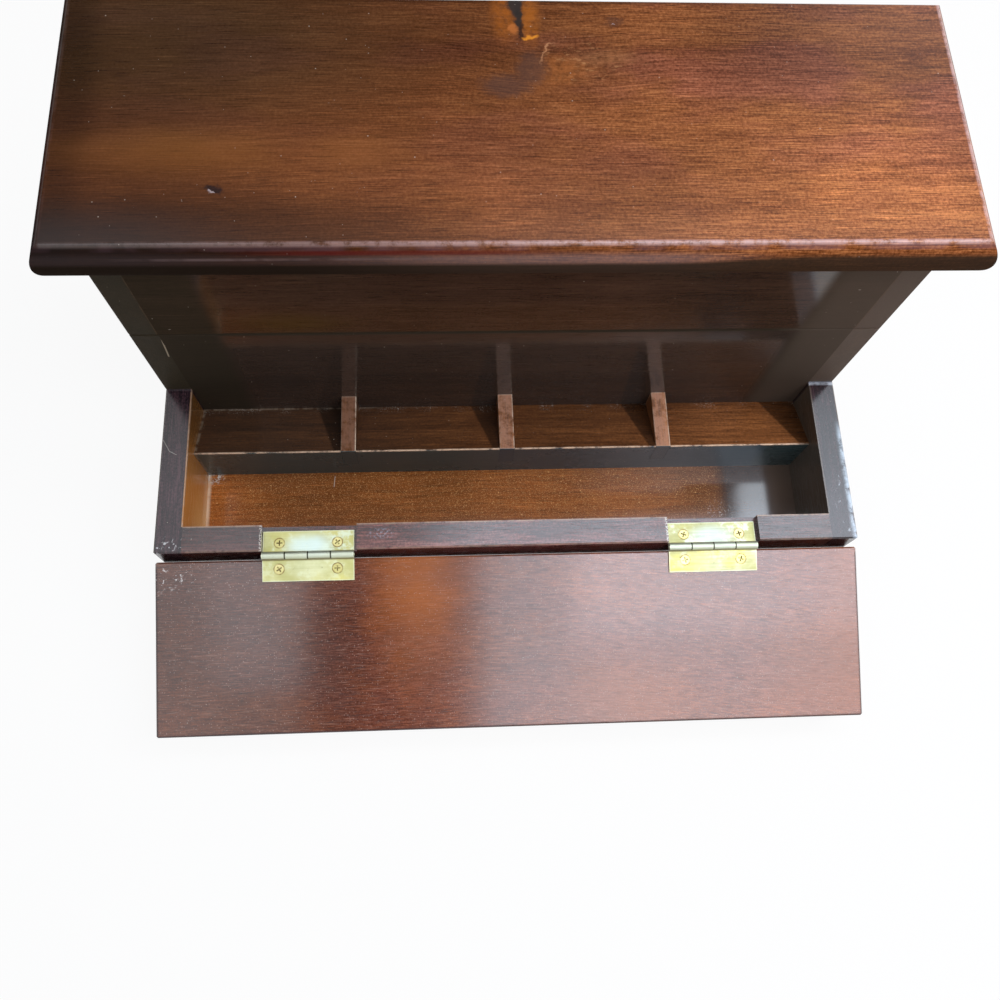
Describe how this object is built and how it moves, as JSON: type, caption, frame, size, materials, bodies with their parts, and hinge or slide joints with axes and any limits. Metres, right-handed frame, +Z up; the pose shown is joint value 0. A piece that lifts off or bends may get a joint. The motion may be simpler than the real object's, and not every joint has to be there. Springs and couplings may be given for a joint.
{
  "type": "desk organizer with lift lid",
  "caption": "Wooden desk organizer: tall letter case under an overhanging lift lid, with a low pen trough and small compartments in front, closed by a hinged flap.",
  "frame": {"origin": "centre of the underside of the case, which leaves out the hanging flap and the overhanging lid", "axes": "+Z up, -Y towards the user and the flap, +X to the user's right"},
  "size_m": [0.309, 0.2381, 0.1531],
  "materials": {
    "case_wood": "gloss varnish",
    "ledge_wood": "gloss varnish",
    "tray_wood": "gloss varnish",
    "flap_wood": "gloss varnish",
    "top_wood": "gloss varnish",
    "hinge_brass": "satin",
    "screw_brass": "satin",
    "pin_steel": "satin"
  },
  "bodies": {
    "case": {"side_left": "ledge_wood", "side_right": "ledge_wood", "front_rail": "ledge_wood", "base_board": "tray_wood", "case_front": "case_wood", "case_back": "case_wood", "tray_block": "tray_wood", "divider_1": "tray_wood", "divider_2": "tray_wood", "divider_3": "tray_wood", "rail_hinge_leaf_left": "hinge_brass", "rail_hinge_leaf_right": "hinge_brass", "flap_hinge_pin_left": "pin_steel", "flap_hinge_pin_right": "pin_steel", "rail_hinge_screws": "screw_brass", "case_hinge_leaf_left": "hinge_brass", "case_hinge_leaf_right": "hinge_brass", "lid_hinge_pin_left": "pin_steel", "lid_hinge_pin_right": "pin_steel"},
    "flap": {"flap": "flap_wood", "flap_hinge_leaf_left": "hinge_brass", "flap_hinge_leaf_right": "hinge_brass", "flap_hinge_screws": "screw_brass"},
    "lid": {"lid_top": "top_wood", "lid_side_left": "case_wood", "lid_side_right": "case_wood", "lid_front": "case_wood", "lid_back": "case_wood", "lid_hinge_leaf_left": "hinge_brass", "lid_hinge_leaf_right": "hinge_brass"}
  },
  "joints": [
    {"name": "flap_hinge", "type": "hinge", "parent": "case", "child": "flap", "pos_m": [0, -0.08065, 0.0385], "axis": [-1, 0, 0], "range_deg": [0, 195.18]},
    {"name": "lid_hinge", "type": "hinge", "parent": "case", "child": "lid", "pos_m": [0, 0.08065, 0.0855], "axis": [-1, 0, 0], "range_deg": [0, 173]}
  ]
}
